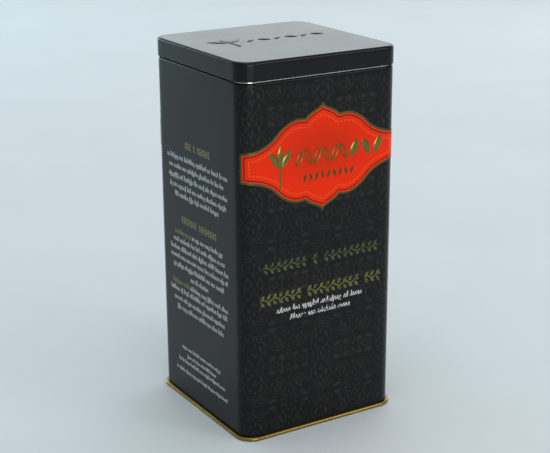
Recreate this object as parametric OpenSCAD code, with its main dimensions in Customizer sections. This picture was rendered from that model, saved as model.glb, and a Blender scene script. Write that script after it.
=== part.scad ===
// Square slip-lid tea tin: a wrapped tinplate body, a seamed-on base, an outer
// slip lid and an airtight inner lid with a pull knob.
// Millimetres, +Z up. The origin is the middle of the face that the tin stands
// on, the decorated front looks along -Y, and the body's lock seam is on +Y.

/* [Body] */
// Width and depth of the square body
body_w = 80; // [60:1:110]
// Radius of the body's upright corners
corner_r = 7; // [6:0.5:14]
// Height from the standing face to the top of the outer lid's panel
tin_h = 171; // [90:1:260]
// Thickness of the tinplate sheet
sheet = 0.3; // [0.2:0.05:0.35]

/* [Mouth] */
// How far the neck under the lid steps in from the body wall
neck_step = 1.25; // [1.2:0.05:1.6]
// Radius of the rolled curl around the mouth
curl_r = 0.45; // [0.4:0.05:0.5]
// Radius of the shoulder below the neck
shoulder_r = 0.8; // [0.5:0.05:0.9]
// Gap between the shoulder and the lid's lower edge
shoulder_gap = 0.5; // [0.3:0.1:1.5]
// Gap between the mouth curl and the lid's panel
mouth_gap = 0.7; // [0.6:0.05:1]

/* [Outer lid] */
// Height of the outer lid
lid_h = 8.4; // [7:0.2:20]
// How far the lid's skirt stands out from the body wall
lid_overhang = 0.25; // [0.2:0.05:0.6]
// Radius of the rounded edge around the lid's panel
lid_edge_r = 1.2; // [0.6:0.1:2.5]
// Height of the folded hem at the skirt's lower edge
hem_h = 1.2; // [0.8:0.1:2]
// Height of the leaf relief pressed up out of the lid's panel
relief_h = 0.4; // [0.2:0.1:0.8]

/* [Base] */
// How far the base's seam ring stands out from the body wall
ring_out = 1.5; // [1.4:0.1:2]
// Height of the seam ring
ring_h = 1.8; // [1.8:0.1:2.4]
// Height of the base panel's upper face above the standing face
panel_z = 3; // [2.8:0.1:6]
// Radius of the stiffening bead in the base panel
base_bead_r = 24; // [10:1:26]

/* [Inner lid] */
// Depth of the inner lid's tray below the mouth
tray_depth = 10; // [10:0.5:20]
// Gap between the tray's wall and the inside of the neck
tray_gap = 0.3; // [0.2:0.05:0.5]
// Radius of the stiffening bead in the tray's floor
tray_bead_r = 25; // [12:1:26]
// Diameter of the pull knob's head
knob_d = 16; // [10:1:20]
// Height of the pull knob
knob_h = 8.2; // [6:0.1:8.4]
// Diameter of the rivet that holds the knob
rivet_d = 3; // [2:0.5:4]

/* [Hidden] */
$fn = 64;

// Half the length of a wall's flat stretch, between its rounded corners
flat_half = body_w / 2 - corner_r;

// Heights
lid_bottom_z = tin_h - lid_h;
shoulder_z = lid_bottom_z - shoulder_gap;
mouth_z = tin_h - sheet - mouth_gap;
rim_z = mouth_z + 0.1;
tray_z = mouth_z - tray_depth;

// Distances outside the body wall's outer face, negative towards the inside
neck_in = -neck_step - sheet;
tray_out = neck_in - tray_gap;
rim_out = 2 * curl_r + neck_in - 0.05;

// Seam ring: the body's flange lies in a channel of this ring, on the compound
channel_w = ring_out - 0.6;
flange_z = ring_h / 2;
compound_h = sheet;

// Lock seam on the back wall
lock_x = body_w / 2 - corner_r - 8;
lock_w = 5;
lock_groove = 0.15;

// Beads pressed into the base and into the tray's floor
bead_r = 1;

// Knob and rivet
knob_bore = 5;
rivet_head_r = 3.2;
rivet_head_h = 1;

// Leaf relief on the outer lid: a sprig of a bud and two leaves on a stem, and
// a row of small leaves to its right
relief_y = 4;
sprig_x = -20;
sprig_l = 11;
sprig_w = 4;
stem_l = 9;
stem_w = 1;
leaf_l = 6.6;
leaf_w = 2.6;
leaf_pitch = 7;
leaf_count = 6;
row_x = -9.5;

// The tin's outline seen from above, grown outwards by a distance
module outline(grow) {
    half = body_w / 2 + grow;
    r = corner_r + grow;
    square([2 * half, 2 * flat_half], center = true);
    square([2 * flat_half, 2 * half], center = true);
    for (sx = [-1, 1], sy = [-1, 1])
        translate([sx * flat_half, sy * flat_half]) circle(r);
}

// Carries a section once around the tin. In the section, X is the distance
// outside the body wall's outer face and Y is the height.
module round_the_tin() {
    for (turn = [0 : 90 : 270])
        rotate(turn) {
            translate([flat_half, flat_half, 0])
                rotate_extrude(angle = 90) translate([corner_r, 0]) children();
            translate([body_w / 2, flat_half, 0])
                rotate([90, 0, 0]) linear_extrude(2 * flat_half) children();
        }
}

// Section from x0 to x1 and from z0 to z1
module band(x0, x1, z0, z1) {
    translate([x0, z0]) square([x1 - x0, z1 - z0]);
}

// Section of a sheet bent through a quarter turn, convex outwards and upwards,
// from an upright at x to a flat at z
module quarter_bend(x, z, r) {
    intersection() {
        translate([x - r, z - r]) difference() {
            circle(r);
            circle(r - sheet);
        }
        band(x - r, x, z - r, z);
    }
}

// A bead pressed up out of a flat sheet whose lower face is at z
module pressed_bead(r, z) {
    rotate_extrude() translate([r, z]) intersection() {
        difference() {
            circle(bead_r);
            circle(bead_r - sheet);
        }
        band(-bead_r, bead_r, 0, bead_r);
    }
}

// Clears the sheet under a pressed bead
module bead_channel(r, z) {
    rotate_extrude() translate([r, z]) circle(bead_r - sheet);
}

// Wrapped wall with its bottom flange, shoulder, neck and rolled mouth
module body_shell() {
    color("#1d1b1c") {
        difference() {
            union() {
                round_the_tin() {
                    band(-sheet, channel_w, flange_z, flange_z + sheet);
                    band(-sheet, 0, flange_z, shoulder_z - shoulder_r);
                    quarter_bend(0, shoulder_z, shoulder_r);
                    band(neck_in, -shoulder_r, shoulder_z - sheet, shoulder_z);
                    band(neck_in, -neck_step, shoulder_z - sheet, mouth_z - curl_r);
                    translate([neck_in + curl_r, mouth_z - curl_r]) circle(curl_r);
                }
                lock_seam_fold();
            }
            lock_seam_groove();
        }
    }
}

// Folded layers of the lock seam, pressed flat inside the back wall
module lock_seam_fold() {
    fold = 2 * sheet;
    translate([lock_x, body_w / 2 - sheet - fold, panel_z + bead_r])
        cube([lock_w, fold + sheet / 2, shoulder_z - panel_z - 3 * bead_r]);
}

// Groove that the lock seam leaves outside
module lock_seam_groove() {
    translate([lock_x, body_w / 2 - lock_groove, ring_h])
        cube([2 * lock_groove, 1, shoulder_z - shoulder_r - ring_h]);
}

// Base with its countersunk panel and the ring seamed around the body's flange
module base_plate() {
    inner = -2 * sheet;
    color("#8a6f2c") {
        difference() {
            union() {
                round_the_tin() difference() {
                    union() {
                        translate([ring_out - ring_h / 2, ring_h / 2]) circle(ring_h / 2);
                        band(inner, ring_out - ring_h / 2, 0, ring_h);
                        band(inner, -sheet, 0, panel_z);
                    }
                    band(-sheet, channel_w, flange_z - compound_h, flange_z + sheet);
                    band(-sheet, 0, flange_z, ring_h + 1);
                }
                translate([0, 0, panel_z - sheet]) linear_extrude(sheet) outline(-sheet);
            }
            bead_channel(base_bead_r, panel_z - sheet);
        }
        pressed_bead(base_bead_r, panel_z - sheet);
    }
}

// Sealing compound that lines the seam under the body's flange
module seam_compound() {
    color("#4a4a46")
        round_the_tin() band(-sheet, channel_w, flange_z - compound_h, flange_z);
}

// Outer slip lid with its rounded edge, hemmed skirt and pressed leaf relief
module lid_shell() {
    edge_x = lid_overhang - lid_edge_r;
    hem_r = sheet;
    color("#232122") {
        round_the_tin() {
            quarter_bend(lid_overhang, tin_h, lid_edge_r);
            band(lid_overhang - sheet, lid_overhang, lid_bottom_z + hem_h, tin_h - lid_edge_r);
            band(lid_overhang - 2 * hem_r, lid_overhang, lid_bottom_z + hem_r, lid_bottom_z + hem_h);
            translate([lid_overhang - hem_r, lid_bottom_z + hem_r]) circle(hem_r);
        }
        translate([0, 0, tin_h - sheet]) linear_extrude(sheet) outline(edge_x);
        translate([0, relief_y, tin_h - sheet / 2])
            linear_extrude(relief_h + sheet / 2) {
                leaf_row();
                translate([sprig_x, 0]) sprig();
            }
    }
}

// A row of leaves that lean alternately to either side
module leaf_row() {
    for (i = [0 : leaf_count - 1])
        translate([row_x + i * leaf_pitch, 0])
            rotate(i % 2 == 0 ? 32 : -32) leaf(leaf_l, leaf_w);
}

// A bud between two leaves at the top of a stem
module sprig() {
    translate([0, sprig_l / 2]) rotate(90) leaf(sprig_l, sprig_w);
    for (side = [-1, 1])
        rotate(90 - side * 52) translate([sprig_l / 2, 0]) leaf(sprig_l, sprig_w);
    translate([-stem_w / 2, -stem_l]) square([stem_w, stem_l + stem_w]);
}

// A pointed leaf: the overlap of two equal circles
module leaf(l, w) {
    r = (l * l + w * w) / (4 * w);
    intersection() {
        translate([0, r - w / 2]) circle(r);
        translate([0, w / 2 - r]) circle(r);
    }
}

// Airtight inner lid: a pressed tray with a flat rim that sits on the mouth
module inner_lid() {
    color("#b9b7b0") {
        difference() {
            union() {
                round_the_tin() {
                    band(tray_out - sheet, rim_out, rim_z, rim_z + sheet);
                    band(tray_out - sheet, tray_out, tray_z, rim_z + sheet);
                }
                translate([0, 0, tray_z]) linear_extrude(sheet) outline(tray_out);
            }
            translate([0, 0, tray_z - 1]) cylinder(h = 2 + sheet, d = rivet_d);
            bead_channel(tray_bead_r, tray_z);
        }
        pressed_bead(tray_bead_r, tray_z);
    }
}

// Turned pull knob with a blind bore for the rivet
module lid_knob() {
    foot_r = knob_d / 3;
    waist_r = knob_d / 5;
    head_h = knob_h * 0.45;
    foot_h = 0.8;
    color("#c9cacc")
        translate([0, 0, tray_z + sheet])
            difference() {
                union() {
                    cylinder(h = foot_h, r = foot_r);
                    cylinder(h = knob_h - head_h / 2, r = waist_r);
                    translate([0, 0, knob_h - head_h])
                        cylinder(h = head_h, r = knob_d / 2 - head_h / 2);
                    rotate_extrude()
                        translate([knob_d / 2 - head_h / 2, knob_h - head_h / 2]) circle(head_h / 2);
                }
                translate([0, 0, -1]) cylinder(h = knob_bore + 1, d = rivet_d);
            }
}

// Rivet that goes up through the tray's floor into the knob
module knob_rivet() {
    color("#9c9d9f") {
        translate([0, 0, tray_z - rivet_head_h]) cylinder(h = rivet_head_h, r = rivet_head_r);
        translate([0, 0, tray_z - rivet_head_h / 2])
            cylinder(h = rivet_head_h / 2 + sheet + knob_bore - 0.2, d = rivet_d);
    }
}

body_shell();
base_plate();
seam_compound();
lid_shell();
inner_lid();
lid_knob();
knob_rivet();
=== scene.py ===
"""Looks of a square lithographed tea tin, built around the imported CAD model.

Everything is in metres in the CAD frame: +Z up, the decorated front looks along -Y.
Print and relief are laid out on the unrolled wall, where u runs round the tin from the
middle of the front, rightwards, and z is the height.
"""

import math
import random

import bmesh
import bpy
import numpy as np
from mathutils import Matrix, Vector

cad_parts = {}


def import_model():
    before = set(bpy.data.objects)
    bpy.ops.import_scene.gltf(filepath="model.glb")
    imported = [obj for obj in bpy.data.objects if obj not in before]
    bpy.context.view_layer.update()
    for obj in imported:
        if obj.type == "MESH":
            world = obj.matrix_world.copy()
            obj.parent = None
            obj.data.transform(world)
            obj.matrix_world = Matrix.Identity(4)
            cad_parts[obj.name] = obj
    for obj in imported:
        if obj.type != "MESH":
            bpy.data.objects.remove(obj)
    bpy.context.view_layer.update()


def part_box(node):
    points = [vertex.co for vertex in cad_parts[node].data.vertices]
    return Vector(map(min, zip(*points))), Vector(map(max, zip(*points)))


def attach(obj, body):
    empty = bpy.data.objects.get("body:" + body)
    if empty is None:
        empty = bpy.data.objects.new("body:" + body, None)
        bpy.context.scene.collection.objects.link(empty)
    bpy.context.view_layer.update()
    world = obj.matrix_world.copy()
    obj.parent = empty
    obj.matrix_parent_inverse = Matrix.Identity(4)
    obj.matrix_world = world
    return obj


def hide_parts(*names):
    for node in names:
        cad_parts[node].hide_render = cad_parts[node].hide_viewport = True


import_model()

# ---- dimensions

MM = 0.001

# Sheet and corner sizes of the CAD source
SHEET = 0.3 * MM
PRINT_LAYER = 0.1 * MM
CORNER_R = 7 * MM
LID_OVERHANG = 0.25 * MM
LID_EDGE_R = 1.2 * MM
HEM_H = 1.2 * MM
RELIEF_H = 0.4 * MM
SHOULDER_R = 0.8 * MM
SHOULDER_GAP = 0.5 * MM
NECK_STEP = 1.25 * MM
CURL_R = 0.45 * MM
RING_H = 1.8 * MM
CHANNEL_W = 0.9 * MM
PANEL_Z = 3 * MM
BEAD_R = 1 * MM
BASE_BEAD_AT = 24 * MM
TRAY_BEAD_AT = 25 * MM
RIVET_R = 1.5 * MM
LOCK_X = 25 * MM
LOCK_W = 5 * MM

# Places read from the frame
LID_LOW, LID_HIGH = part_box("lid_shell")
WALL_LOW, WALL_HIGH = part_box("body_shell")
_, BASE_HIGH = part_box("base_plate")
TRAY_LOW, TRAY_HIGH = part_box("inner_lid")
KNOB_LOW, KNOB_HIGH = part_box("lid_knob")
RIVET_LOW, RIVET_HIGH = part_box("knob_rivet")
COMPOUND_LOW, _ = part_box("seam_compound")

HALF = LID_HIGH.x - LID_OVERHANG
FLAT = HALF - CORNER_R
SIDE = 2 * FLAT + math.pi / 2 * CORNER_R
LID_TOP = LID_HIGH.z - RELIEF_H
LID_BOTTOM = LID_LOW.z
SHOULDER_Z = LID_BOTTOM - SHOULDER_GAP
WALL_TOP = SHOULDER_Z - SHOULDER_R
MOUTH_Z = WALL_HIGH.z
RING_OUT = BASE_HIGH.x - HALF
NECK_IN = -NECK_STEP - SHEET
TRAY_OUT = NECK_IN - SHEET
CENTRE = Vector((0, 0, LID_TOP / 2))

# Steps of the meshes round the tin
FLAT_STEPS = 26
CORNER_STEPS = 24
WALL_ROWS = 40

# Edges that turn by more than this stay crisp
SHARP_ANGLE = math.radians(38)

# Heights of the printed layers above the wall, and how far they are sunk into it
INK = 0.018 * MM
BORDER_TOP = 0.14 * MM
FIELD_TOP = 0.16 * MM
LINE_TOP = 0.175 * MM
FOIL_H = 0.38 * MM
UNDER = -0.02 * MM

# Tin walls are never quite flat: they draw in a little between the corners, with ripples
# given as a share of the hollow and how fast they run up and across the wall
WALL_HOLLOW = 0.16 * MM
WALL_RIPPLES = ((0.35, 9, 2.3), (0.2, 17, -3.1))
# The lid's panel is wavy: rates along x and y in radians to the metre, start and sink
PANEL_WAVE = 0.02 * MM
PANEL_WAVES = (95, 80, 1.1, 0.6)


# ---- unrolled surface


def hollow(u, z):
    """How far the wall is drawn in at (u, z)."""
    across = (u - np.round(u / SIDE) * SIDE) / FLAT
    up = np.clip((z - RING_H) / (SHOULDER_Z - RING_H), 0, 1)
    belly = np.cos(np.clip(across, -1, 1) * math.pi / 2) ** 2 * np.sin(up * math.pi) ** 0.7
    ripple = 1
    for share, climb, run in WALL_RIPPLES:
        ripple = ripple + share * np.sin(climb * up + run * across)
    return WALL_HOLLOW * belly * ripple


def around(u, out=0.0):
    """Plan position of unrolled coordinate u, at a distance outside the wall line."""
    turn = np.round(u / SIDE)
    local = u - turn * SIDE
    angle = np.clip((np.abs(local) - FLAT) / CORNER_R, 0, None)
    x = np.sign(local) * (np.minimum(np.abs(local), FLAT) + (CORNER_R + out) * np.sin(angle))
    y = -(FLAT + (CORNER_R + out) * np.cos(angle))
    cos, sin = np.cos(turn * math.pi / 2), np.sin(turn * math.pi / 2)
    return x * cos - y * sin, x * sin + y * cos


def pairs(a, b):
    """2D points from their two coordinates."""
    return np.stack([a, b], axis=-1)


def spread(*values):
    """Arrays of one common size."""
    return np.broadcast_arrays(*[np.asarray(v, float) for v in values])


def on_wall(u, z, out=0.0):
    """Points on the printed wall, at a distance outside it."""
    u, z, out = spread(u, z, out)
    x, y = around(u, out - hollow(u, z))
    return np.stack([x, y, z], axis=-1)


def on_face(turn):
    """A map like on_wall, with u from the middle of the face `turn` quarter turns on."""
    return lambda u, z, out=0.0: on_wall(np.asarray(u) + turn * SIDE, z, out)


def panel_wave(x, y):
    """Gentle waves of the outer lid's panel, nought at its edge."""
    rate_x, rate_y, start, sink = PANEL_WAVES
    inside = np.clip(1 - np.maximum(np.abs(x), np.abs(y)) / (HALF - 3 * MM), 0, 1)
    ease = np.minimum(inside * 3, 1)
    return PANEL_WAVE * ease * (np.sin(x * rate_x + start) * np.cos(y * rate_y) - sink)


def on_lid(x, y, out=0.0):
    """Points on the outer lid's panel, at a height above it."""
    x, y, out = spread(x, y, out)
    return np.stack([x, y, LID_TOP + panel_wave(x, y) + out], axis=-1)


def stations():
    """Unrolled coordinates once round the tin, closer at the corners."""
    flat = np.linspace(-FLAT, FLAT, FLAT_STEPS, endpoint=False)
    corner = np.linspace(FLAT, SIDE - FLAT, CORNER_STEPS, endpoint=False)
    return np.concatenate([np.concatenate([flat, corner]) + k * SIDE for k in range(4)])


STATIONS = stations()


# ---- mesh building


def add_object(name, data):
    """Puts a new object in the scene."""
    item = bpy.data.objects.new(name, data)
    bpy.context.scene.collection.objects.link(item)
    return item


class Shape:
    """Points and faces of one mesh; `place` lays 2D marks on the wall or the lid."""

    def __init__(self, place=None):
        self.place = place
        self.points = []
        self.faces = []
        self.count = 0

    def lay(self, marks, out):
        """Points for 2D marks, at a height above their surface."""
        marks = np.asarray(marks, float)
        return self.place(marks[:, 0], marks[:, 1], out)

    def add(self, points, faces):
        """Adds points, and faces numbered from the first of them."""
        points = np.asarray(points, float).reshape(-1, 3)
        self.points.append(points)
        self.faces.extend([tuple(i + self.count for i in f) for f in faces])
        self.count += len(points)
        return self

    def build(self, name, mat, body, slot, replaces=()):
        """Makes the object, which rides on a body; `slot`, its finish slot, is not used."""
        mesh = bpy.data.meshes.new(name)
        mesh.from_pydata(np.concatenate(self.points).tolist(), [], self.faces)
        work = bmesh.new()
        work.from_mesh(mesh)
        bmesh.ops.recalc_face_normals(work, faces=work.faces)
        work.to_mesh(mesh)
        work.free()
        mesh.shade_smooth()
        mesh.set_sharp_from_angle(angle=SHARP_ANGLE)
        mesh.materials.append(mat)
        piece = add_object(name, mesh)
        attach(piece, body)
        if replaces:
            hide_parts(*replaces)


def loop_faces(rings, n, closed):
    """Quads between successive rings of n points; closed joins the last ring to the first."""
    faces = []
    for i in range(rings if closed else rings - 1):
        a, b = i * n, (i + 1) % rings * n
        faces += [(a + j, a + (j + 1) % n, b + (j + 1) % n, b + j) for j in range(n)]
    return faces


def arc(cx, cz, r, start, end, steps):
    """Section points along a round, between two angles in degrees."""
    turns = np.radians(np.linspace(start, end, steps))
    return [(cx + r * math.cos(t), cz + r * math.sin(t)) for t in turns]


def straight(out, start, end, steps):
    """Section points up or down a straight wall."""
    return [(out, z) for z in np.linspace(start, end, steps)]


def edge_rings(section):
    """Rings that follow the tin's outline, one for each (out, z) point."""
    levels = [(around(STATIONS, out), z) for out, z in section]
    return [np.stack([x, y, np.full_like(x, z)], axis=-1) for (x, y), z in levels]


def circle_rings(section):
    """Round rings with a point for each station, one ring for each (r, z) point."""
    x, y = around(STATIONS)
    turn = np.arctan2(y, x)
    cos, sin = np.cos(turn), np.sin(turn)
    return [np.stack([r * cos, r * sin, np.full_like(x, z)], axis=-1) for r, z in section]


def shrunk_rings(out, z, shares):
    """Rings of the outline's shape, scaled to the given shares of it."""
    ring = edge_rings([(out, z)])[0]
    return [ring * np.array([share, share, 1.0]) for share in shares]


def sweep(section, on_the_wall=False):
    """A closed section of (out, z) points carried once round the tin."""
    if on_the_wall:
        rings = [on_wall(STATIONS, z, out) for out, z in section]
    else:
        rings = edge_rings(section)
    return Shape().add(rings, loop_faces(len(rings), len(STATIONS), True))


def dish(rings):
    """A closed shape of rings from near the axis and back, capped at both ends."""
    n = len(STATIONS)
    faces = loop_faces(len(rings), n, False)
    middles = np.array([rings[0].mean(axis=0), rings[-1].mean(axis=0)])
    end = len(rings) * n
    for middle, start in ((end, 0), (end + 1, end - n)):
        faces += [(middle, start + j, start + (j + 1) % n) for j in range(n)]
    return Shape().add(np.concatenate(rings + [middles]), faces)


def lathe(profile, steps=56):
    """A turned shape from (r, z) points that start and end on the axis."""
    turns = np.linspace(0, 2 * math.pi, steps, endpoint=False)
    inner = profile[1:-1]
    points = [(r * math.cos(t), r * math.sin(t), z) for r, z in inner for t in turns]
    faces = loop_faces(len(inner), steps, False)
    for tip, start in ((profile[0], 0), (profile[-1], (len(inner) - 1) * steps)):
        points.append((0, 0, tip[1]))
        faces += [(len(points) - 1, start + j, start + (j + 1) % steps) for j in range(steps)]
    return Shape().add(points, faces)


# ---- print and relief marks


def turned(points, degrees):
    """2D points turned about the origin."""
    t = math.radians(degrees)
    return np.asarray(points) @ np.array([[math.cos(t), math.sin(t)], [-math.sin(t), math.cos(t)]])


def prism(shape, outline, top=INK):
    """A thin plate over a small outline of (u, z) points."""
    n = len(outline)
    faces = [tuple(range(n)), tuple(range(2 * n - 1, n - 1, -1))]
    faces += [(j, (j + 1) % n, n + (j + 1) % n, n + j) for j in range(n)]
    shape.add([shape.lay(outline, top), shape.lay(outline, UNDER)], faces)


# Sections of a ribbon, as shares of its half width and its lift
FLAT_SECTION = ((-1, 0), (1, 0))
ROUND_SECTION = ((-1, 0), (-0.72, 0.62), (-0.3, 0.94), (0.3, 0.94), (0.72, 0.62), (1, 0))
# Rings of a pearl, as shares of its radius and its height
PEARL_SECTION = ((1.0, 0.0), (0.82, 0.5), (0.45, 0.88))


def stroke(shape, path, width, low=UNDER, high=INK, closed=False, section=FLAT_SECTION, lift=0.0):
    """A ribbon along a path; its section's middle may be lifted into a ridge."""
    path = np.asarray(path, float)
    width = np.broadcast_to(np.asarray(width, float), (len(path),))
    along = np.roll(path, -1, 0) - np.roll(path, 1, 0) if closed else np.gradient(path, axis=0)
    along = along / np.maximum(np.linalg.norm(along, axis=1, keepdims=True), 1e-12)
    side = pairs(-along[:, 1], along[:, 0]) * width[:, None] / 2
    lines = [shape.lay(path + side * share, high + up * lift) for share, up in section]
    lines += [shape.lay(path + side * share, low) for share in (1, -1)]
    k = len(lines)
    faces = loop_faces(len(path), k, closed)
    if not closed:
        faces += [tuple(range(k)), tuple((len(path) - 1) * k + j for j in range(k))]
    shape.add(np.stack(lines, axis=1), faces)


def wire(shape, path, width, base, rise, closed=False):
    """A ribbon raised into a rounded wire above a base height."""
    stroke(shape, path, width, base + UNDER, base, closed, ROUND_SECTION, rise)


def leaf_outline(length, width, lean, at, steps=7):
    """A pointed leaf round `at`, lying along the lean in degrees."""
    s = np.linspace(0, 1, steps)
    half = 2 * width * s * (1 - s)
    x = (s - 0.5) * length
    points = np.concatenate([pairs(x, half), pairs(x, -half)[-2:0:-1]])
    return turned(points, lean) + np.asarray(at)


def leaf_dome(shape, leaf, lean, at, low, high):
    """A pressed leaf, `leaf` long and wide: a closed dome with a slight middle vein."""
    length, width = leaf
    rows, cols = 11, 9
    vein_depth, vein_width = 0.4, 0.16
    s = np.linspace(0, 1, rows + 2)[1:-1]
    t = np.linspace(-1, 1, cols)
    x = np.append(np.repeat((s - 0.5) * length, cols), (-length / 2, length / 2))
    y = np.append((2 * width * (s * (1 - s))[:, None] * t[None, :]).ravel(), (0, 0))
    swell = np.sin(s * math.pi) ** 0.7
    bulge = (1 - np.abs(t) ** 2.4) * (1 - vein_depth * np.exp(-((t / vein_width) ** 2)))
    lift = np.append((swell[:, None] * bulge[None, :]).ravel(), (0, 0))
    flat = turned(pairs(x, y), lean) + np.asarray(at)
    foot, last, tip = rows * cols, (rows - 1) * cols, rows * cols + 1
    faces = []
    for j in range(cols - 1):
        faces += [(i + j, i + j + 1, i + cols + j + 1, i + cols + j) for i in range(0, last, cols)]
        faces += [(foot, j + 1, j), (tip, last + j, last + j + 1)]
    far_side = range(cols - 1, foot, cols)
    near_side = range(last, -1, -cols)
    faces.append((foot, *far_side, tip, *near_side))
    shape.add(shape.lay(flat, low + (high - low) * lift), faces)


def pearl(shape, at):
    """A small round dome on the label's field."""
    n = 9
    low, rise = FIELD_TOP - 0.01 * MM, 0.04 * MM
    turns = np.linspace(0, 2 * math.pi, n, endpoint=False)
    circle = pairs(np.cos(turns), np.sin(turns))
    points = [shape.lay(at + PEARL_R * r * circle, low + rise * h) for r, h in PEARL_SECTION]
    points.append(shape.lay([at], low + rise))
    faces = loop_faces(3, n, False)
    faces += [(2 * n + j, 2 * n + (j + 1) % n, 3 * n) for j in range(n)] + [tuple(range(n))]
    shape.add(np.concatenate(points), faces)


def spiral(at, r_start, r_end, start, sweep_degrees, steps):
    """Points of a scroll that winds from one radius to another."""
    s = np.linspace(0, 1, steps)
    turns = np.radians(start + sweep_degrees * s)
    r = r_start + (r_end - r_start) * s
    return pairs(at[0] + r * np.cos(turns), at[1] + r * np.sin(turns))


# ---- materials

BUMP_H = 0.035 * MM
LABEL_ROUGHNESS = 0.24
LABEL_SPECULAR = 0.1


def shader_input(mat, socket):
    """One of the sockets of a material's shader."""
    return mat.node_tree.nodes["Principled BSDF"].inputs[socket]


def shader(name, colour, roughness, metallic=0.0, specular=0.5):
    """A material whose uniform values sit on the shader's own sockets."""
    mat = bpy.data.materials.new(name)
    mat.use_nodes = True
    values = {"Base Color": (*colour, 1), "Roughness": roughness, "Metallic": metallic}
    values["Specular IOR Level"] = specular
    for socket, value in values.items():
        shader_input(mat, socket).default_value = value
    return mat


def place_node(mat, kind, **inputs):
    """Adds a node and sets its inputs by name."""
    node = mat.node_tree.nodes.new(kind)
    for key, value in inputs.items():
        node.inputs[key.replace("_", " ")].default_value = value
    return node


def join(source, target):
    """Links two sockets of one material."""
    source.id_data.links.new(source, target)


def mapped(mat, stretch=(1, 1, 1), shift=(0, 0, 0)):
    """Object coordinates scaled along each axis and then shifted."""
    coordinates = place_node(mat, "ShaderNodeTexCoord")
    mapping = place_node(mat, "ShaderNodeMapping", Scale=stretch, Location=shift)
    join(coordinates.outputs["Object"], mapping.inputs["Vector"])
    return mapping.outputs["Vector"]


def noise(mat, scale, detail, stretch=(1, 1, 1)):
    """A noise value over the object, with `scale` features to the metre."""
    node = place_node(mat, "ShaderNodeTexNoise", Scale=scale, Detail=detail, Roughness=0.55)
    join(mapped(mat, stretch), node.inputs["Vector"])
    return node.outputs["Fac"]


def drive(mat, socket, value, *stops):
    """Sets a shader socket by a value, between two (position, colour or grey) stops."""
    node = place_node(mat, "ShaderNodeValToRGB")
    for element, (position, level) in zip(node.color_ramp.elements, stops):
        element.position = position
        element.color = (*level, 1) if isinstance(level, tuple) else (level, level, level, 1)
    join(value, node.inputs["Fac"])
    join(node.outputs["Color"], shader_input(mat, socket))


def drive_roughness(mat, value, roughness, low, high):
    """Lets the roughness run between two (position, share of it) stops."""
    stops = [(position, roughness * share) for position, share in (low, high)]
    drive(mat, "Roughness", value, *stops)


def add_bump(mat, *layers):
    """Fine relief from (value, strength) layers, each on top of the last."""
    target = shader_input(mat, "Normal")
    for value, strength in reversed(layers):
        node = place_node(mat, "ShaderNodeBump", Strength=strength, Distance=BUMP_H)
        join(value, node.inputs["Height"])
        join(node.outputs["Normal"], target)
        target = node.inputs["Normal"]


def shade(colour, share):
    """A colour made lighter or darker by a share of itself."""
    return tuple(c * (1 + share) for c in colour)


def mottle(mat, colour, share, scale=60):
    """Lets the colour drift by a share either way, in soft clouds."""
    cloud = noise(mat, scale, 4)
    drive(mat, "Base Color", cloud, (0.3, shade(colour, -share)), (0.7, shade(colour, share)))


def enamel_surface(mat, roughness, peel):
    """Faint smears in the gloss, orange peel and dust."""
    smears = noise(mat, 38, 5, (1, 1, 0.35))
    drive_roughness(mat, smears, roughness, (0.35, 0.88), (0.7, 1.15))
    add_bump(mat, (noise(mat, 520, 2), peel), (noise(mat, 2600, 1), peel * 0.4))


def enamel(name, colour, roughness=0.3, specular=0.2, drift=0.1):
    """Gloss enamel or litho ink on tinplate."""
    mat = shader(name, colour, roughness, specular=specular)
    mottle(mat, colour, drift)
    enamel_surface(mat, roughness, 0.05)
    return mat


def metal(name, colour, roughness, drift=0.1, brushed=(1, 1, 1), lines=0.03):
    """Bare or lacquered metal with rolling lines and a cloudy tone."""
    mat = shader(name, colour, roughness, metallic=1.0)
    mottle(mat, colour, drift)
    grain = noise(mat, 900, 4, brushed)
    drive_roughness(mat, grain, roughness, (0.3, 0.85), (0.75, 1.2))
    add_bump(mat, (grain, lines))
    return mat


def turned_metal(name, colour, roughness):
    """Metal with the fine rings that a lathe leaves, about the tin's axis."""
    mat = shader(name, colour, roughness, metallic=1.0)
    mottle(mat, colour, 0.08, 300)
    rings = place_node(mat, "ShaderNodeTexWave", Scale=1400.0, Distortion=0.6, Detail=2.0)
    rings.wave_type = "RINGS"
    rings.rings_direction = "Z"
    join(mapped(mat), rings.inputs["Vector"])
    drive_roughness(mat, rings.outputs["Fac"], roughness, (0.2, 0.8), (0.8, 1.25))
    add_bump(mat, (rings.outputs["Fac"], 0.06))
    return mat


def label_red_and_painted_shade(name, bright, shaded_red):
    """The label's red ink with a fine print grain, and painted shade that darkens it over an oval
    above the middle.
    """
    mat = shader(name, bright, LABEL_ROUGHNESS, specular=LABEL_SPECULAR)
    enamel_surface(mat, LABEL_ROUGHNESS, 0.04)
    across, up = 1 / PAINTED_SHADE_REACH[0], 1 / PAINTED_SHADE_REACH[1]
    # Painted shade: an oval of darker red above the label's middle
    shade_oval = place_node(mat, "ShaderNodeTexGradient")
    shade_oval.gradient_type = "SPHERICAL"
    centred = mapped(mat, (across, 0, up), (0, 0, -(LABEL_Z + PAINTED_SHADE_RISE) * up))
    join(centred, shade_oval.inputs["Vector"])
    grain = place_node(mat, "ShaderNodeMath")
    grain.operation = "MULTIPLY_ADD"
    grain.inputs[1].default_value = 0.25
    join(noise(mat, 700, 3), grain.inputs[0])
    join(shade_oval.outputs["Fac"], grain.inputs[2])
    # Runs from the red ink to the painted shade's darker red, with the print grain mixed in
    drive(mat, "Base Color", grain.outputs[0], (0.2, bright), (0.8, shaded_red))
    return mat


# ---- layout

# Label cartouche, measured from its own centre
LABEL_Z = LID_TOP - 45.2 * MM
LABEL_END = 40.4 * MM
LABEL_END_R = 1.1 * MM
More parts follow.
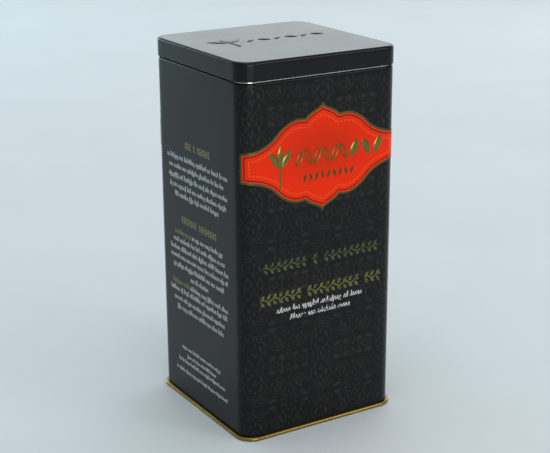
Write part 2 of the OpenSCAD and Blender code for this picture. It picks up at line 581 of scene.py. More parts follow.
# Bezier curves of the upper edge, from the band's end to the tip, in millimetres
LABEL_CURVES = (
    ((40.4, 6.6), (33.5, 6.8), (27.5, 8.8), (23.8, 12.6)),
    ((23.8, 12.6), (20.2, 16.6), (14.2, 19.8), (8.9, 18.2)),
    ((8.9, 18.2), (7.0, 20.4), (4.0, 21.2), (1.9, 22.3)),
    ((1.9, 22.3), (0.9, 22.9), (0.3, 23.6), (0.0, 24.7)),
)
BORDER_W = 1.0 * MM
RED_STRIP_W = 0.65 * MM
DARK_LINE_W = 0.45 * MM
PEARL_INSET = 4.0 * MM
PEARL_PITCH = 1.52 * MM
PEARL_R = 0.48 * MM

# The decorated panel reaches a little round each front corner
PANEL_END = 43.2 * MM

# Painted shade: the label's red is darker over an oval above its centre
PAINTED_SHADE_REACH = (32 * MM, 17 * MM)
PAINTED_SHADE_RISE = 4 * MM

# The label and the headings are printed a little out of square with the tin
PRINT_TILT = math.tan(math.radians(0.75))

# Stem of an emblem's sprig
STEM_L = 9 * MM
STEM_W = 1 * MM


def tilt(u):
    """Rise of the label's print at u."""
    return PRINT_TILT * (np.asarray(u) + LABEL_END)


def tilted(face):
    """A face's map with the slope of the label's print."""
    return lambda u, z, out=0.0: face(u, z + tilt(u), out)


def bezier(curve):
    """Points of one cubic curve."""
    t = np.linspace(0, 1, 14)[:, None]
    p = np.array(curve) * MM
    middle = 3 * (1 - t) * t * ((1 - t) * p[1] + t * p[2])
    return (1 - t) ** 3 * p[0] + middle + t**3 * p[3]


def label_edge():
    """The label's upper edge from left to right, as fine (u, z) points."""
    right = np.concatenate([bezier(curve) for curve in LABEL_CURVES])[::-1]
    left = right[:0:-1] * np.array([-1, 1])
    return np.concatenate([left, right])


LABEL_EDGE = label_edge()


def label_half(u, inset=0.0):
    """Half the label's height at u, for an outline drawn in by `inset`."""
    samples, directions = 1617, 61
    fine = np.linspace(-LABEL_END, LABEL_END, samples)
    edge = np.interp(fine, LABEL_EDGE[:, 0], LABEL_EDGE[:, 1])
    past = np.clip(np.abs(fine) - (LABEL_END - LABEL_END_R), 0, LABEL_END_R)
    edge -= LABEL_END_R - np.sqrt(LABEL_END_R**2 - past**2)
    if not inset:
        return np.interp(u, fine, edge)
    result = np.full(np.shape(u), np.inf)
    for step in np.linspace(-1, 1, directions):
        drop = inset * math.sqrt(max(0.0, 1 - step * step))
        result = np.minimum(result, np.interp(u + inset * step, fine, edge) - drop)
    return result


def label_loop(inset):
    """Stations across the inset outline, closest at its ends, and half its height there."""
    end = LABEL_END - inset
    near_end = end - LABEL_END_R * (1 - np.cos(np.linspace(0, math.pi / 2, 9)))
    u = np.concatenate([-near_end, np.linspace(-end, end, 241)[8:-8], near_end[::-1]])
    return u, label_half(u, inset)


def outline_points(inset):
    """The inset outline as one loop of (u, z) points."""
    u, half = label_loop(inset)
    upper = pairs(u, LABEL_Z + half)
    lower = pairs(u, LABEL_Z - half)
    return np.concatenate([upper, lower[::-1]])


def label_band(place, inset_a, inset_b, top):
    """A closed band between two insets of the label's outline."""
    shape = Shape(place)
    outer, inner = outline_points(inset_a), outline_points(inset_b)
    section = ((outer, UNDER), (outer, top), (inner, top), (inner, UNDER))
    rings = [shape.lay(loop, out) for loop, out in section]
    return shape.add(rings, loop_faces(len(rings), len(outer), True))


def label_field(place, inset):
    """A closed plate over the inset label, filled in columns."""
    shape = Shape(place)
    u, half = label_loop(inset)
    columns, rows = len(u), 12
    heights = LABEL_Z + half[:, None] * np.linspace(-1, 1, rows)
    marks = pairs(np.repeat(u, rows), heights.ravel())
    base = columns * rows
    grid = np.arange(base).reshape(columns, rows)
    faces = []
    for a in grid[:-1, :-1].ravel().tolist():
        faces.append((a, a + 1, a + rows + 1, a + rows))
        faces.append((base + a, base + a + rows, base + a + rows + 1, base + a + 1))
    rim = np.concatenate([grid[0], grid[1:, -1], grid[-1, -2::-1], grid[-2:0:-1, 0]]).tolist()
    faces += [(a, b, base + b, base + a) for a, b in zip(rim, rim[1:] + rim[:1])]
    return shape.add([shape.lay(marks, FIELD_TOP), shape.lay(marks, UNDER)], faces)


def label_pearls(place):
    """The row of small pearls inside the label's edge."""
    shape = Shape(place)
    loop = outline_points(PEARL_INSET)
    loop = np.concatenate([loop, loop[:1]])
    length = np.concatenate([[0], np.cumsum(np.linalg.norm(np.diff(loop, axis=0), axis=1))])
    count = int(length[-1] / PEARL_PITCH)
    for at in np.linspace(0, length[-1], count, endpoint=False):
        pearl(shape, (np.interp(at, length, loop[:, 0]), np.interp(at, length, loop[:, 1])))
    return shape


def sprig(shape, at, leaf, lean, low, high):
    """An upright bud between two leaves on a stem; `leaf` is a leaf's length and width."""
    for side in (0, -1, 1):
        turn = 90 - side * lean
        reach = turned(np.array([leaf[0] / 2, 0]), turn) if side else (0, leaf[0] / 2)
        leaf_dome(shape, leaf, turn, (at[0] + reach[0], at[1] + reach[1]), low, high)
    stem = [(at[0], at[1] - STEM_L * share) for share in np.linspace(-0.1, 1, 9)]
    wire(shape, stem, STEM_W, low, (high - low) * 0.8)


def lid_relief():
    """The sprig and the row of leaves pressed up from the lid's panel."""
    shape = Shape(on_lid)
    y, high = 4 * MM, RELIEF_H - 0.01 * MM
    sprig_x, sprig_leaf, sprig_lean = -20 * MM, (11 * MM, 4 * MM), 52
    row_x, pitch, leaf, lean = -9.5 * MM, 7 * MM, (6.6 * MM, 2.6 * MM), 32
    sprig(shape, (sprig_x, y), sprig_leaf, sprig_lean, 0.0, high)
    for i in range(6):
        leaf_dome(shape, leaf, lean * (-1) ** i, (row_x + i * pitch, y), 0.0, high)
    return shape


def label_emblem(place):
    """The label's raised emblem: a sprig, open leaves of wire, then larger solid leaves."""
    shape = Shape(place)
    low, row_h = FIELD_TOP, FOIL_H * 0.8
    sprig_at, sprig_leaf, sprig_lean = (-21.3 * MM, LABEL_Z - 2 * MM), (10 * MM, 3 * MM), 36
    sprig(shape, sprig_at, sprig_leaf, sprig_lean, low, low + FOIL_H)
    u, z = -11.6 * MM, LABEL_Z + 1.1 * MM
    length, width, lean, line = 8.2 * MM, 3.1 * MM, 66, 0.75 * MM
    pitch, solid_u, solid_pitch = 4.5 * MM, u + 28.2 * MM, 6.2 * MM
    for i in range(6):
        turn = lean * (-1) ** i
        outline = leaf_outline(length - line, width - line, turn, (u + i * pitch, z), 9)
        wire(shape, outline, line, low, row_h, closed=True)
    for i in range(3):
        at = (solid_u + i * solid_pitch, z + 0.4 * MM)
        leaf_dome(shape, (length * 1.08, width * 1.15), lean * (-1) ** i, at, low, low + row_h)
    return shape


def leaf_row(place):
    """The row of small upright leaves printed under the label's emblem."""
    shape = Shape(place)
    middle, z, height, count = 3.2 * MM, LABEL_Z - 8 * MM, 4.2 * MM, 9
    reach = 12.8 * MM - height * 0.15
    for i in range(count):
        at = (middle + (2 * i / (count - 1) - 1) * reach, z)
        prism(shape, leaf_outline(height, height * 0.34, 90 - 16 * (-1) ** i, at), LINE_TOP)
    return shape


# Headings and small type are measured in millimetres, and down from the lid's panel


def vine(shape, down, half, height, groups):
    """A heading band: lengths of leafy vine, with gaps between them."""
    z, half, height = LID_TOP - down * MM, half * MM, height * MM
    gap = 0.8
    pitch = 2 * half / (sum(groups) + gap * (len(groups) - 1))
    u = -half
    for count in groups:
        run = np.linspace(u + 0.1 * pitch, u + (count - 0.1) * pitch, 8 * count + 1)
        wave = z + 0.13 * height * np.sin((run - u) / pitch * math.pi)
        stroke(shape, pairs(run, wave), height * 0.14)
        for i in range(count):
            side = (-1) ** i
            for reach, turn in ((0.31, 52), (-0.31, 128)):
                at = (u + (i + 0.5) * pitch, z + side * reach * height)
                prism(shape, leaf_outline(height * 0.62, height * 0.31, side * turn, at))
        u += (count + gap) * pitch


# Where the points of one hump of a scribble come, as shares of its pitch
HUMP = (0.0, 0.12, 0.25, 0.4, 0.52, 0.68, 0.85)
# Humps in a word, with the commonest length twice
WORD_LENGTHS = (2, 3, 3, 4, 5, 6, 7, 8)


def small_type(rng, inks, down, half, height, slant=0, weight=0.14, lead=0):
    """A line of wavy word-length scribbles, which stands for small type.

    `inks` are the shapes of the first `lead` of the line and of the rest.
    """
    z, half, height = LID_TOP - down * MM, half * MM, height * MM
    pitch = height * 0.56
    lean = math.tan(math.radians(slant))
    u = -half
    while u < half - 2 * pitch:
        shape = inks[0] if u < lead * MM - half else inks[1]
        humps = min(rng.choice(WORD_LENGTHS), int((half - u) / pitch))
        path = []
        for _ in range(max(humps, 1)):
            rise = height * (0.74 if rng.random() < 0.28 else rng.uniform(0.28, 0.36))
            drop = height * (0.62 if rng.random() < 0.1 else rng.uniform(0.28, 0.36))
            heights = (-drop, 0.0, rise, rise * 0.9, 0.0, -drop, -drop)
            path += [(u + share * pitch + h * lean, z + h) for share, h in zip(HUMP, heights)]
            u += pitch * rng.uniform(0.85, 1.1)
        stroke(shape, path, height * weight)
        u += pitch * 0.6


# ---- damask

TILE_U = 34.7 * MM
TILE_Z = 37.7 * MM
DAMASK_Z = LID_TOP - 117.9 * MM
DAMASK_LINE = 0.5 * MM

# Leaves of one quarter of the damask tile: place, length, width in millimetres and lean
DAMASK_LEAVES = (
    # upright column on the tile's edge
    ((0.9, 0.9), 1.2, 0.8, 90), ((0, 3.4), 2.6, 0.8, 90), ((2.7, 9.5), 4.0, 1.6, 72),
    ((0, 7.6), 2.6, 1.0, 90), ((1.0, 11.6), 2.2, 0.8, 60), ((0, 12.6), 2.4, 0.9, 90),
    ((2.9, 14.2), 3.2, 1.2, 112), ((1.4, 16.7), 2.6, 1.0, 48), ((0, 18.85), 3.0, 1.5, 90),
    ((4.1, 18.85), 2.4, 0.9, 0), ((5.4, 12.6), 1.8, 0.7, 60),
    # pairs of leaves between the medallions
    ((8.6, 1.7), 4.4, 1.8, 8), ((13.9, 1.3), 2.6, 0.9, 0), ((6.1, 3.3), 1.8, 0.8, 60),
    ((8.7, 15.5), 4.4, 2.1, -10), ((13.7, 15.3), 3.0, 1.9, 16), ((17.35, 17.2), 2.2, 0.9, 90),
    ((16.3, 14.4), 1.8, 0.7, 120), ((11.3, 18.1), 2.4, 0.8, 20),
    # inside and beside the medallion
    ((12.9, 7.6), 3.4, 1.4, 58), ((10.7, 6.0), 2.8, 1.1, 102), ((13.6, 9.6), 2.2, 0.9, 20),
    ((11.9, 10.4), 2.0, 0.8, 130), ((17.35, 4.8), 2.2, 0.8, 90), ((17.35, 8.0), 1.4, 0.9, 90),
    ((17.35, 11.4), 2.2, 0.8, 90), ((6.6, 8.2), 1.6, 0.7, 90),
)
# Scrolls of the same quarter: centre, first and last radius in millimetres, start and sweep
DAMASK_SCROLLS = (
    ((2.9, 4.0), 2.3, 1.9, 60, 300), ((2.9, 4.0), 1.2, 0.3, 0, 360),
    ((1.8, 9.6), 3.8, 3.2, -50, 110), ((2.4, 16.6), 2.6, 1.0, 100, -250),
    ((11.75, 8.0), 4.15, 3.9, -65, 262), ((10.4, 9.3), 1.9, 0.5, 170, 400),
    ((13.9, 13.6), 3.4, 2.9, 30, 120), ((13.2, 17.6), 1.9, 0.5, 200, -330),
    ((8.3, 17.6), 1.5, 0.5, -20, 330), ((14.9, 2.9), 1.7, 0.5, 250, 330),
    ((10.4, 3.0), 1.5, 0.4, 300, -330),
)


def damask_quarter():
    """Marks of a quarter tile as (points, width) in metres; leaves have no width."""
    marks = [(leaf_outline(*leaf, at, 6) * MM, None) for at, *leaf in DAMASK_LEAVES]
    for at, r_start, r_end, start, turn in DAMASK_SCROLLS:
        steps = max(10, int(abs(turn) / 17))
        path = spiral(at, r_start, r_end, start, turn, steps) * MM
        marks.append((path, DAMASK_LINE * np.linspace(1.0, 0.7, steps)))
    return marks


def in_panel(points):
    """Which points lie on the decorated panel and outside the label."""
    u, z = points[..., 0], points[..., 1]
    inside = (np.abs(u) < PANEL_END) & (z > RING_H + 0.6 * MM) & (z < WALL_TOP - 0.3 * MM)
    margin = 0.7 * MM
    half = label_half(np.clip(u, -LABEL_END, LABEL_END))
    level = np.abs(z - tilt(u) - LABEL_Z)
    return inside & ~((np.abs(u) < LABEL_END - margin) & (level < half - margin))


def runs(mask):
    """Start and end of each unbroken run of True."""
    edges = np.flatnonzero(np.diff(np.concatenate([[0], mask.astype(int), [0]])))
    return list(zip(edges[::2], edges[1::2]))


def damask_centres():
    """Centre of every damask tile that may touch the panel."""
    across = int(PANEL_END / TILE_U) + 1
    down = int(DAMASK_Z / TILE_Z) + 1
    up = int((SHOULDER_Z - DAMASK_Z) / TILE_Z) + 1
    for i in range(-across, across + 1):
        for k in range(-down, up + 1):
            yield i * TILE_U, DAMASK_Z + k * TILE_Z


def mirrorings(points):
    """Ways to mirror a mark in its tile: one on a mirror line is its own image."""
    ways = []
    for middle, half in zip(points.mean(axis=0), (TILE_U / 2, TILE_Z / 2)):
        on_line = min(abs(middle), abs(middle - half)) < 0.1 * MM
        ways.append((1,) if on_line else (1, -1))
    return [(across, up) for across in ways[0] for up in ways[1]]


def damask(place):
    """The tone-on-tone damask print of one decorated panel."""
    shape = Shape(place)
    quarter = damask_quarter()
    marks = [(points * way, width) for points, width in quarter for way in mirrorings(points)]
    for centre in damask_centres():
        for points, width in marks:
            at = points + centre
            shown = in_panel(at)
            if width is None:
                if shown.all():
                    prism(shape, at)
                continue
            for a, b in runs(shown):
                if b - a >= 3:
                    stroke(shape, at[a:b], width[a:b])
    return shape


# ---- pieces


def wall_side(layer, steps=9):
    """The wall and its shoulder, upwards, at a depth of `layer` inside the surface."""
    wall = straight(-layer, RING_H * 0.75, WALL_TOP, WALL_ROWS)
    return wall + arc(-SHOULDER_R, WALL_TOP, SHOULDER_R - layer, 0, 90, steps)[1:]


def printed_wall():
    """The printed outer layer, from the base seam to the foot of the neck."""
    end = -NECK_STEP + 0.06 * MM
    outer = wall_side(0) + [(end, SHOULDER_Z)]
    inner = wall_side(PRINT_LAYER) + [(end, SHOULDER_Z - PRINT_LAYER)]
    return sweep(outer + inner[::-1], on_the_wall=True)


def wall_sheet():
    """The bare sheet: flange, inner wall, neck and rolled mouth."""
    flange_low = WALL_LOW.z + 0.03 * MM
    flange_high = flange_low + SHEET - 0.04 * MM
    flange_out = CHANNEL_W - 0.05 * MM
    under_z = SHOULDER_Z - SHEET
    curl_z = MOUTH_Z - CURL_R
    foot = -NECK_STEP + 0.08 * MM
    section = [(-PRINT_LAYER, flange_high), (flange_out, flange_high), (flange_out, flange_low)]
    section += [(-SHEET, flange_low)] + wall_side(SHEET, 7)
    section += [(NECK_IN + 0.12 * MM, under_z), (NECK_IN, under_z + 0.15 * MM)]
    section += straight(NECK_IN, SHOULDER_Z + 0.8 * MM, curl_z, 6)
    section += arc(NECK_IN + CURL_R, curl_z, CURL_R, 180, -150, 18)[1:]
    section += straight(-NECK_STEP, MOUTH_Z - 2 * CURL_R, SHOULDER_Z + 0.25 * MM, 6)
    section += [(foot, SHOULDER_Z - 0.02 * MM), (foot, SHOULDER_Z - PRINT_LAYER)]
    return sweep(section + wall_side(PRINT_LAYER)[::-1], on_the_wall=True)


def up_lock_seam(shift, width, high, section=FLAT_SECTION, lift=0.0):
    """A ribbon up the back wall, at a distance from the middle of the lock seam."""
    z = np.linspace(RING_H + 0.2 * MM, WALL_TOP - 0.2 * MM, WALL_ROWS)
    path = pairs(np.full_like(z, -LOCK_X - LOCK_W / 2 + shift), z)
    shape = Shape(on_face(2))
    stroke(shape, path, width, high=high, section=section, lift=lift)
    return shape


def lock_seam_strip():
    """The pressed strip of the lock seam."""
    section = ((-1, 0), (-0.93, 0.6), (-0.82, 1), (0.82, 1), (0.93, 0.6), (1, 0))
    return up_lock_seam(0, LOCK_W, 0.0, section, 0.12 * MM)


def lock_seam_edge():
    """The sheet's bare cut edge beside the strip."""
    width = 0.2 * MM
    return up_lock_seam(LOCK_W / 2 + width / 2, width, LINE_TOP + INK)


def beaded_floor(low, bead_at, hub):
    """Round rings of a pressed floor: outwards underneath, and inwards on top."""
    high = low + SHEET
    radii = [r * MM for r in (hub, 8, 15, 20)]
    under = [(r, low) for r in radii] + arc(bead_at, low, BEAD_R - SHEET, 180, 0, 11)
    bead = [(r, z) for r, z in arc(bead_at, low, BEAD_R, 180, 0, 11) if z > high]
    top = [(r, high) for r in radii] + bead
    return circle_rings(under), circle_rings(top[::-1])


def base_shape():
    """The base: beaded panel, chuck wall and seam ring round the flange."""
    bottom = PANEL_Z - SHEET
    chuck = -2 * SHEET
    middle = RING_H / 2
    floor_z = COMPOUND_LOW.z
    lip_z = WALL_LOW.z + SHEET + 0.02 * MM
    inside = -SHEET - 0.02 * MM
    bend, toe, lip = 0.4 * MM, 0.3 * MM, 0.2 * MM
    under, top = beaded_floor(bottom, BASE_BEAD_AT, 2)
    edge = arc(chuck - bend, bottom - bend, bend, 90, 0, 5)[1:]
    edge += arc(chuck + toe, toe, toe, 180, 270, 5)
    edge += arc(RING_OUT - middle, middle, middle, -90, 90, 15)
    edge += arc(0.25 * MM, RING_H - lip, lip, 90, 180, 4)
    edge += [(0.04 * MM, lip_z), (CHANNEL_W, lip_z), (CHANNEL_W, floor_z)]
    edge += [(inside, floor_z), (inside, PANEL_Z)]
    rings = under + shrunk_rings(chuck - 0.5 * MM, bottom, (0.82, 0.9, 0.96, 1.0))
    rings += edge_rings(edge)
    rings += shrunk_rings(-SHEET - 0.5 * MM, PANEL_Z, (0.96, 0.9, 0.82))
    return dish(rings + top)


def compound_shape():
    """The sealing compound under the body's flange."""
    low, high, sag = COMPOUND_LOW.z + 0.01 * MM, WALL_LOW.z, 0.005 * MM
    right = CHANNEL_W - 0.02 * MM
    foot = [(-SHEET, low), (0.3 * MM, low - sag), (right, low)]
    return sweep(foot + [(right, high), (-SHEET, high)])


def lid_side(layer):
    """Upper edge and skirt of the outer lid, at a depth of `layer`."""
    edge = arc(LID_OVERHANG - LID_EDGE_R, LID_TOP - LID_EDGE_R, LID_EDGE_R - layer, 90, 0, 11)
    return edge + straight(LID_OVERHANG - layer, LID_TOP - 2 * LID_EDGE_R, LID_BOTTOM + HEM_H, 6)


def lid_section(layer):
    """Side and hem of the outer lid, at a depth of `layer`."""
    hem = arc(LID_OVERHANG - SHEET, LID_BOTTOM + SHEET, SHEET - layer, 0, -180, 11)
    hem.append((LID_OVERHANG - 2 * SHEET + layer, LID_BOTTOM + HEM_H))
    return lid_side(layer) + hem


def lid_panel(layer):
    """Rings of the outer lid's panel, outwards, at a depth of `layer`."""
    shares = np.linspace(0.04, 0.985, 22)
    rings = shrunk_rings(LID_OVERHANG - LID_EDGE_R, LID_TOP - layer, shares)
    for ring in rings:
        ring[:, 2] += panel_wave(ring[:, 0], ring[:, 1])
    return rings


def lid_enamel_shape():
    """The black outer layer of the slip lid, folded in at its hem."""
    section = lid_section(0) + lid_section(PRINT_LAYER)[::-1]
    return dish(lid_panel(0) + edge_rings(section) + lid_panel(PRINT_LAYER)[::-1])


def lid_lining_shape():
    """The bare inside of the slip lid, tucked into the hem."""
    fold = (LID_OVERHANG - SHEET, LID_BOTTOM + HEM_H - 0.1 * MM)
    section = lid_section(PRINT_LAYER) + [fold] + lid_side(SHEET)[::-1]
    return dish(lid_panel(PRINT_LAYER) + edge_rings(section) + lid_panel(SHEET)[::-1])


def tray_shape():
    """The inner lid: a flat rim, a straight wall and a beaded floor."""
    floor_z, rim_z = TRAY_LOW.z, TRAY_HIGH.z
    rim_out = TRAY_HIGH.x - HALF - SHEET / 2
    out, inside = TRAY_OUT, TRAY_OUT - SHEET
    bend, inner_bend = 0.5 * MM, 0.3 * MM
    under, top = beaded_floor(floor_z, TRAY_BEAD_AT, 2.2)
    edge = arc(out - bend, floor_z + bend, bend, -80, 0, 6)
    edge += straight(out, floor_z + 2 * bend, rim_z - SHEET - bend / 3, 5)
    edge += [(out + bend / 3, rim_z - SHEET), (rim_out, rim_z - SHEET)]
    edge += arc(rim_out, rim_z - SHEET / 2, SHEET / 2, -60, 90, 6)
    edge += arc(inside + bend, rim_z - bend, bend, 90, 180, 6)
    edge += straight(inside, rim_z - 2 * bend, floor_z + 2 * bend, 5)
    edge += arc(inside - inner_bend, floor_z + SHEET + inner_bend, inner_bend, 0, -90, 5)
    rings = under + shrunk_rings(out - bend, floor_z, (0.84, 0.92, 1.0)) + edge_rings(edge)
    rings += shrunk_rings(inside - inner_bend, floor_z + SHEET, (0.92, 0.84))
    return dish(rings + top)


def knob_shape():
    """The turned pull knob: foot, waist, rounded head and a dished top."""
    low, high = KNOB_LOW.z, KNOB_HIGH.z
    r = KNOB_HIGH.x
    foot_r, waist_r, foot_edge = r / 1.5, r * 0.4, 0.3 * MM
    foot_sweep, neck_sweep = 1.6 * MM, 0.9 * MM
    head = (high - low) * 0.45
    dish_z = high - 0.55 * MM
    profile = [(0, low), (foot_r, low)]
    profile += arc(foot_r - foot_edge, low + 0.5 * MM, foot_edge, 0, 90, 5)
    profile += arc(waist_r + foot_sweep, low + 2.4 * MM, foot_sweep, 260, 180, 8)
    profile += arc(waist_r + neck_sweep, high - head - 0.5 * MM, neck_sweep, 180, 100, 6)
    profile += arc(r - head / 2, high - head / 2, head / 2, -80, 88, 16)
    profile += [(r * 0.6, high - 0.15 * MM), (r * 0.52, high - 0.4 * MM), (r * 0.2, dish_z)]
    profile.append((0, dish_z))
    return lathe(profile)


def rivet_shape():
    """The rivet's domed head under the tray and its shank."""
    low, high, head_top = RIVET_LOW.z, RIVET_HIGH.z, TRAY_LOW.z
    r, chamfer = RIVET_HIGH.x, 0.3 * MM
    crown = (head_top - low) * 0.8
    turns = np.linspace(0.3, 1.5, 5)
    profile = [(0, low)] + [(r * math.sin(t), low + crown * (1 - math.cos(t))) for t in turns]
    profile += [(r, head_top), (RIVET_R, head_top), (RIVET_R, high - chamfer)]
    profile += [(RIVET_R - chamfer, high), (0, high)]
    return lathe(profile, 32)


# ---- finishes

BLACK = (0.004, 0.004, 0.004)
RED_BRIGHT = (0.84, 0.027, 0.0022)
TINPLATE = (0.72, 0.71, 0.69)

TIN = "tin"
OUTER = "outer_lid"
INNER = "inner_lid"
PRINT_SLOT = "printed_black_tinplate"
LID_SLOT = "gloss_black_tinplate"
BARE_SLOT = "bare_tinplate"

black_print = enamel("black_litho", BLACK, roughness=0.13, drift=0.15)
black_lid = enamel("black_enamel", BLACK, roughness=0.17, specular=0.22, drift=0.15)
damask_ink = enamel("damask_ink", (0.019, 0.0152, 0.0132), roughness=0.2, drift=0.25)
# The second red is painted shade, darker over an oval above the label's middle
red_ink_and_painted_shade = label_red_and_painted_shade("label_red_and_painted_shade", RED_BRIGHT, (0.66, 0.025, 0.003))
red_edge = enamel("label_red_edge", RED_BRIGHT, LABEL_ROUGHNESS, LABEL_SPECULAR, drift=0.05)
orange_ink = enamel("pearl_orange", (0.88, 0.095, 0.018), roughness=0.5, specular=0.05)
olive_ink = metal("olive_gold_ink", (0.093, 0.103, 0.036), 0.42, drift=0.13)
heading_green = enamel("heading_green_ink", (0.075, 0.09, 0.036))
heading_olive = enamel("heading_olive_ink", (0.12, 0.12, 0.03))
# Painted light: a lighter copy of the headings' olive ink, to make up for the dimmer light on the
# sides
side_ink_painted_light = enamel("side_olive_ink_painted_light", (0.2, 0.2, 0.08))
row_ink = enamel("leaf_row_ink", (0.075, 0.055, 0.014))
line_ink = enamel("dark_line_ink", (0.022, 0.018, 0.006), specular=0.1)
foil = metal("gold_foil", (0.2, 0.165, 0.04), 0.10, drift=0.12)
white_ink = enamel("white_ink", (0.62, 0.62, 0.6), drift=0.04)
small_type_ink = enamel("small_type_ink", (0.5, 0.54, 0.54), drift=0.06)
lacquer = metal("gold_lacquer", (0.28, 0.195, 0.043), 0.22, drift=0.16)
tinplate = metal("bare_tinplate", TINPLATE, 0.26, drift=0.05, brushed=(1, 1, 0.04), lines=0.012)
cut_edge = metal("cut_tinplate", (0.3, 0.29, 0.28), 0.45)
tray_metal = metal("tray_tinplate", TINPLATE, 0.24, drift=0.05, brushed=(0.05, 1, 1))
knob_metal = turned_metal("turned_aluminium", (0.72, 0.72, 0.73), 0.2)
rivet_metal = metal("rivet_aluminium", (0.55, 0.55, 0.55), 0.35)
compound = enamel("sealing_compound", (0.075, 0.075, 0.068), roughness=0.6, specular=0.4, drift=0.2)


# ---- assembly


def build_tin():
    """Wall, lock seam, base and sealing compound."""
    printed_wall().build("wall_print", black_print, TIN, PRINT_SLOT, ["body_shell"])
    wall_sheet().build("wall_sheet", tinplate, TIN, BARE_SLOT)
    lock_seam_strip().build("lock_seam_strip", black_print, TIN, PRINT_SLOT)
    lock_seam_edge().build("lock_seam_edge", cut_edge, TIN, BARE_SLOT)
    base_shape().build("base_end", lacquer, TIN, "gold_lacquered_tinplate", ["base_plate"])
    compound_shape().build("seam_lining", compound, TIN, "sealing_compound", ["seam_compound"])


def printed(shape, name, ink):
    """Makes a layer of print, which rides on the tin."""
    shape.build(name, ink, TIN, PRINT_SLOT)


def build_decorated_panel(name, turn):
    """Damask, label, headings and small type of the front or the back."""
    face = on_face(turn)
    place = tilted(face)
    printed(damask(face), f"{name}_damask", damask_ink)
    inset = 0
    for part, width, top, ink in LABEL_BANDS:
        printed(label_band(place, inset, inset + width, top), f"{name}_label_{part}", ink)
        inset += width
    printed(label_field(place, inset), f"{name}_label_field", red_ink_and_painted_shade)
    printed(label_pearls(place), f"{name}_label_pearls", orange_ink)
    printed(label_emblem(place), f"{name}_label_emblem", foil)
    printed(leaf_row(place), f"{name}_label_leaf_row", row_ink)
    for part, ink, layout in HEADINGS:
        heading = Shape(place)
        vine(heading, *layout)
        printed(heading, f"{name}_{part}_heading", ink)
    rng = random.Random(5 + turn)
    lines = Shape(place)
    for down, half in FRONT_LINES:
        small_type(rng, (lines, lines), down, half, FRONT_TYPE_H, slant=12, weight=0.15)
    printed(lines, f"{name}_small_lines", white_ink)


# Bands of the label from its edge inwards: name, width, height and ink
LABEL_BANDS = (
    ("border", BORDER_W, BORDER_TOP, olive_ink),
    ("edge", RED_STRIP_W, FIELD_TOP, red_edge),
    ("line", DARK_LINE_W, LINE_TOP, line_ink),
)
# Headings of a decorated panel: name, ink, and distance below the lid's panel, half width,
# height and groups of leaves, in millimetres
HEADINGS = (
    ("upper", heading_green, (91.1, 30.6, 4.6, (7, 1, 9))),
    ("lower", heading_olive, (105.6, 32.2, 4.9, (7, 9, 3))),
)
# Heights of small headings and of small type, in millimetres
SIDE_HEADING_H = 3.2
FRONT_TYPE_H = 2.5
SIDE_TYPE_H = 2.3
SMALL_PRINT_H = 1.8
# Lines of small type: distance below the lid's panel and half width, in millimetres
FRONT_LINES = ((111.8, 23.2), (116.1, 16.4))
# Paragraphs of a side panel, each with the length of the olive words that lead it
SIDE_PARAGRAPHS = (
    (((52.3, 28.5), (56.8, 27), (61.4, 27.5), (65.9, 26.5), (70.0, 22)), 0),
    (((88.1, 23), (92.2, 24.5), (96.3, 27.5), (100.3, 27.5), (104.6, 25), (109.0, 9)), 15),
    (((113.3, 26.5), (117.0, 28.5), (121.4, 25.5), (125.7, 22.5)), 15),
)
SIDE_HEADINGS = ((45.3, 11.6, (3, 1, 6)), (81.2, 16.5, (7, 8)))
SIDE_SMALL_PRINT = ((145.2, 19), (148.9, 14), (152.2, 22.5), (157.2, 25))


def build_side_panel(name, turn):
    """Small headings and lines of small type on a plain side."""
    place = on_face(turn)
    rng = random.Random(11 + turn)
    olive, pale = Shape(place), Shape(place)
    for down, half, groups in SIDE_HEADINGS:
        vine(olive, down, half, SIDE_HEADING_H, groups)
    for paragraph, lead in SIDE_PARAGRAPHS:
        for down, half in paragraph:
            small_type(rng, (olive, pale), down, half, SIDE_TYPE_H, lead=lead)
            lead = 0
    for down, half in SIDE_SMALL_PRINT:
        small_type(rng, (pale, pale), down, half, SMALL_PRINT_H)
    # The headings and lead words take the lightened olive ink, which is painted light
    printed(olive, f"{name}_headings", side_ink_painted_light)
    printed(pale, f"{name}_lines", small_type_ink)


def build_lids():
    """Outer lid with its relief, and the inner lid with its knob and rivet."""
    lid_enamel_shape().build("outer_lid_enamel", black_lid, OUTER, LID_SLOT, ["lid_shell"])
    lid_lining_shape().build("outer_lid_lining", tinplate, OUTER, BARE_SLOT)
    lid_relief().build("outer_lid_relief", black_lid, OUTER, LID_SLOT)
    tray_shape().build("inner_lid_tray", tray_metal, INNER, BARE_SLOT, ["inner_lid"])
    knob_shape().build("pull_knob", knob_metal, INNER, "turned_aluminium", ["lid_knob"])
    rivet_shape().build("pull_knob_rivet", rivet_metal, INNER, "rivet_aluminium", ["knob_rivet"])


# ---- studio


def direction(azimuth, elevation):
    """Unit vector from the tin to a place round it; azimuth 0 is in front."""
    a, e = math.radians(azimuth), math.radians(elevation)
    return Vector((math.sin(a) * math.cos(e), -math.cos(a) * math.cos(e), math.sin(e)))


def look_rotation(back, roll=0.0):
    """Rotation of a camera or a lamp that looks against the direction `back`."""
    turn = (-back).to_track_quat("-Z", "Y").to_matrix().to_4x4()
    return turn @ Matrix.Rotation(math.radians(roll), 4, "Z")


def softbox(name, azimuth, elevation, distance, size, radiance, colour):
    """A rectangular area light on a sphere round the tin."""
    data = bpy.data.lights.new(name, "AREA")
    data.shape = "RECTANGLE"
    data.size, data.size_y = size
    data.energy = radiance * math.pi * size[0] * size[1]
    data.color = colour
    lamp = add_object(name, data)
    back = direction(azimuth, elevation)
    lamp.matrix_world = Matrix.Translation(CENTRE + back * distance) @ look_rotation(back)
    lamp.visible_camera = False


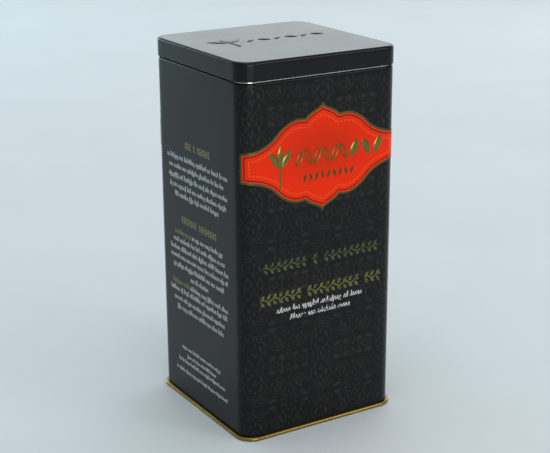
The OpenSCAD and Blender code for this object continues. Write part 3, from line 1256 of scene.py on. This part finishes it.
def floor():
    """A pale, slightly mottled studio floor."""
    mesh = bpy.data.meshes.new("studio_floor")
    reach = 4.0
    corners = [(-reach, -reach, 0), (reach, -reach, 0), (reach, reach, 0), (-reach, reach, 0)]
    mesh.from_pydata(corners, [], [(0, 1, 2, 3)])
    surface = add_object("studio_floor", mesh)
    mat = shader("floor_paper", (0.76, 0.80, 0.82), 0.6, specular=0.2)
    tone = noise(mat, 6, 2)
    drive(mat, "Base Color", tone, (0.3, (0.75, 0.79, 0.81)), (0.7, (0.78, 0.82, 0.84)))
    mesh.materials.append(mat)


def world():
    """A dim, even surround."""
    surround = bpy.data.worlds.new("surround")
    surround.use_nodes = True
    inputs = surround.node_tree.nodes["Background"].inputs
    inputs["Color"].default_value = (0.86, 0.95, 1.0, 1)
    inputs["Strength"].default_value = 0.5
    bpy.context.scene.world = surround


def camera():
    """The camera, at the photograph's angle to the front and left faces."""
    roll, distance = -0.28, 0.6169
    focal_px, image_width = 1326.4, 550
    raise_by, aside_by = -1.7 * MM, 0.27 * MM
    data = bpy.data.cameras.new("camera")
    data.sensor_width = 36
    data.lens = focal_px / image_width * data.sensor_width
    data.clip_start, data.clip_end = 0.01, 50
    eye = add_object("camera", data)
    back = direction(-31.45, 17.99)
    rotation = look_rotation(back, roll)
    right = rotation.to_3x3() @ Vector((1, 0, 0))
    up = rotation.to_3x3() @ Vector((0, 1, 0))
    spot = CENTRE + back * distance + right * aside_by + up * raise_by
    eye.matrix_world = Matrix.Translation(spot) @ rotation
    bpy.context.scene.camera = eye


# Soft lights: name, azimuth, elevation, distance, size, radiance and colour
SOFTBOXES = (
    ("front_low", -10, 6, 1.3, (0.9, 0.4), 3.76, (1.0, 0.98, 0.97)),
    ("front_right", 33, 21, 1.3, (0.4, 0.36), 4.07, (1, 1, 1)),
    ("overhead", 0, 86, 1.2, (1.0, 1.0), 1.06, (1, 1, 1)),
    ("back_wide", 140, 24, 1.6, (1.8, 0.8), 1.03, (0.90, 0.99, 1.0)),
    ("left_back", -165, 12, 1.6, (0.8, 0.4), 4.6, (0.68, 0.95, 1.0)),
    ("right_low", 110, 10, 1.3, (0.7, 0.3), 1.5, (1, 1, 1)),
)


def studio():
    """Floor, surround, soft lights and camera."""
    floor()
    world()
    for light in SOFTBOXES:
        softbox(*light)
    camera()
    bpy.context.scene.view_settings.view_transform = "Standard"


build_tin()
build_decorated_panel("front", 0)
build_decorated_panel("back", 2)
build_side_panel("left", -1)
build_side_panel("right", 1)
build_lids()
studio()
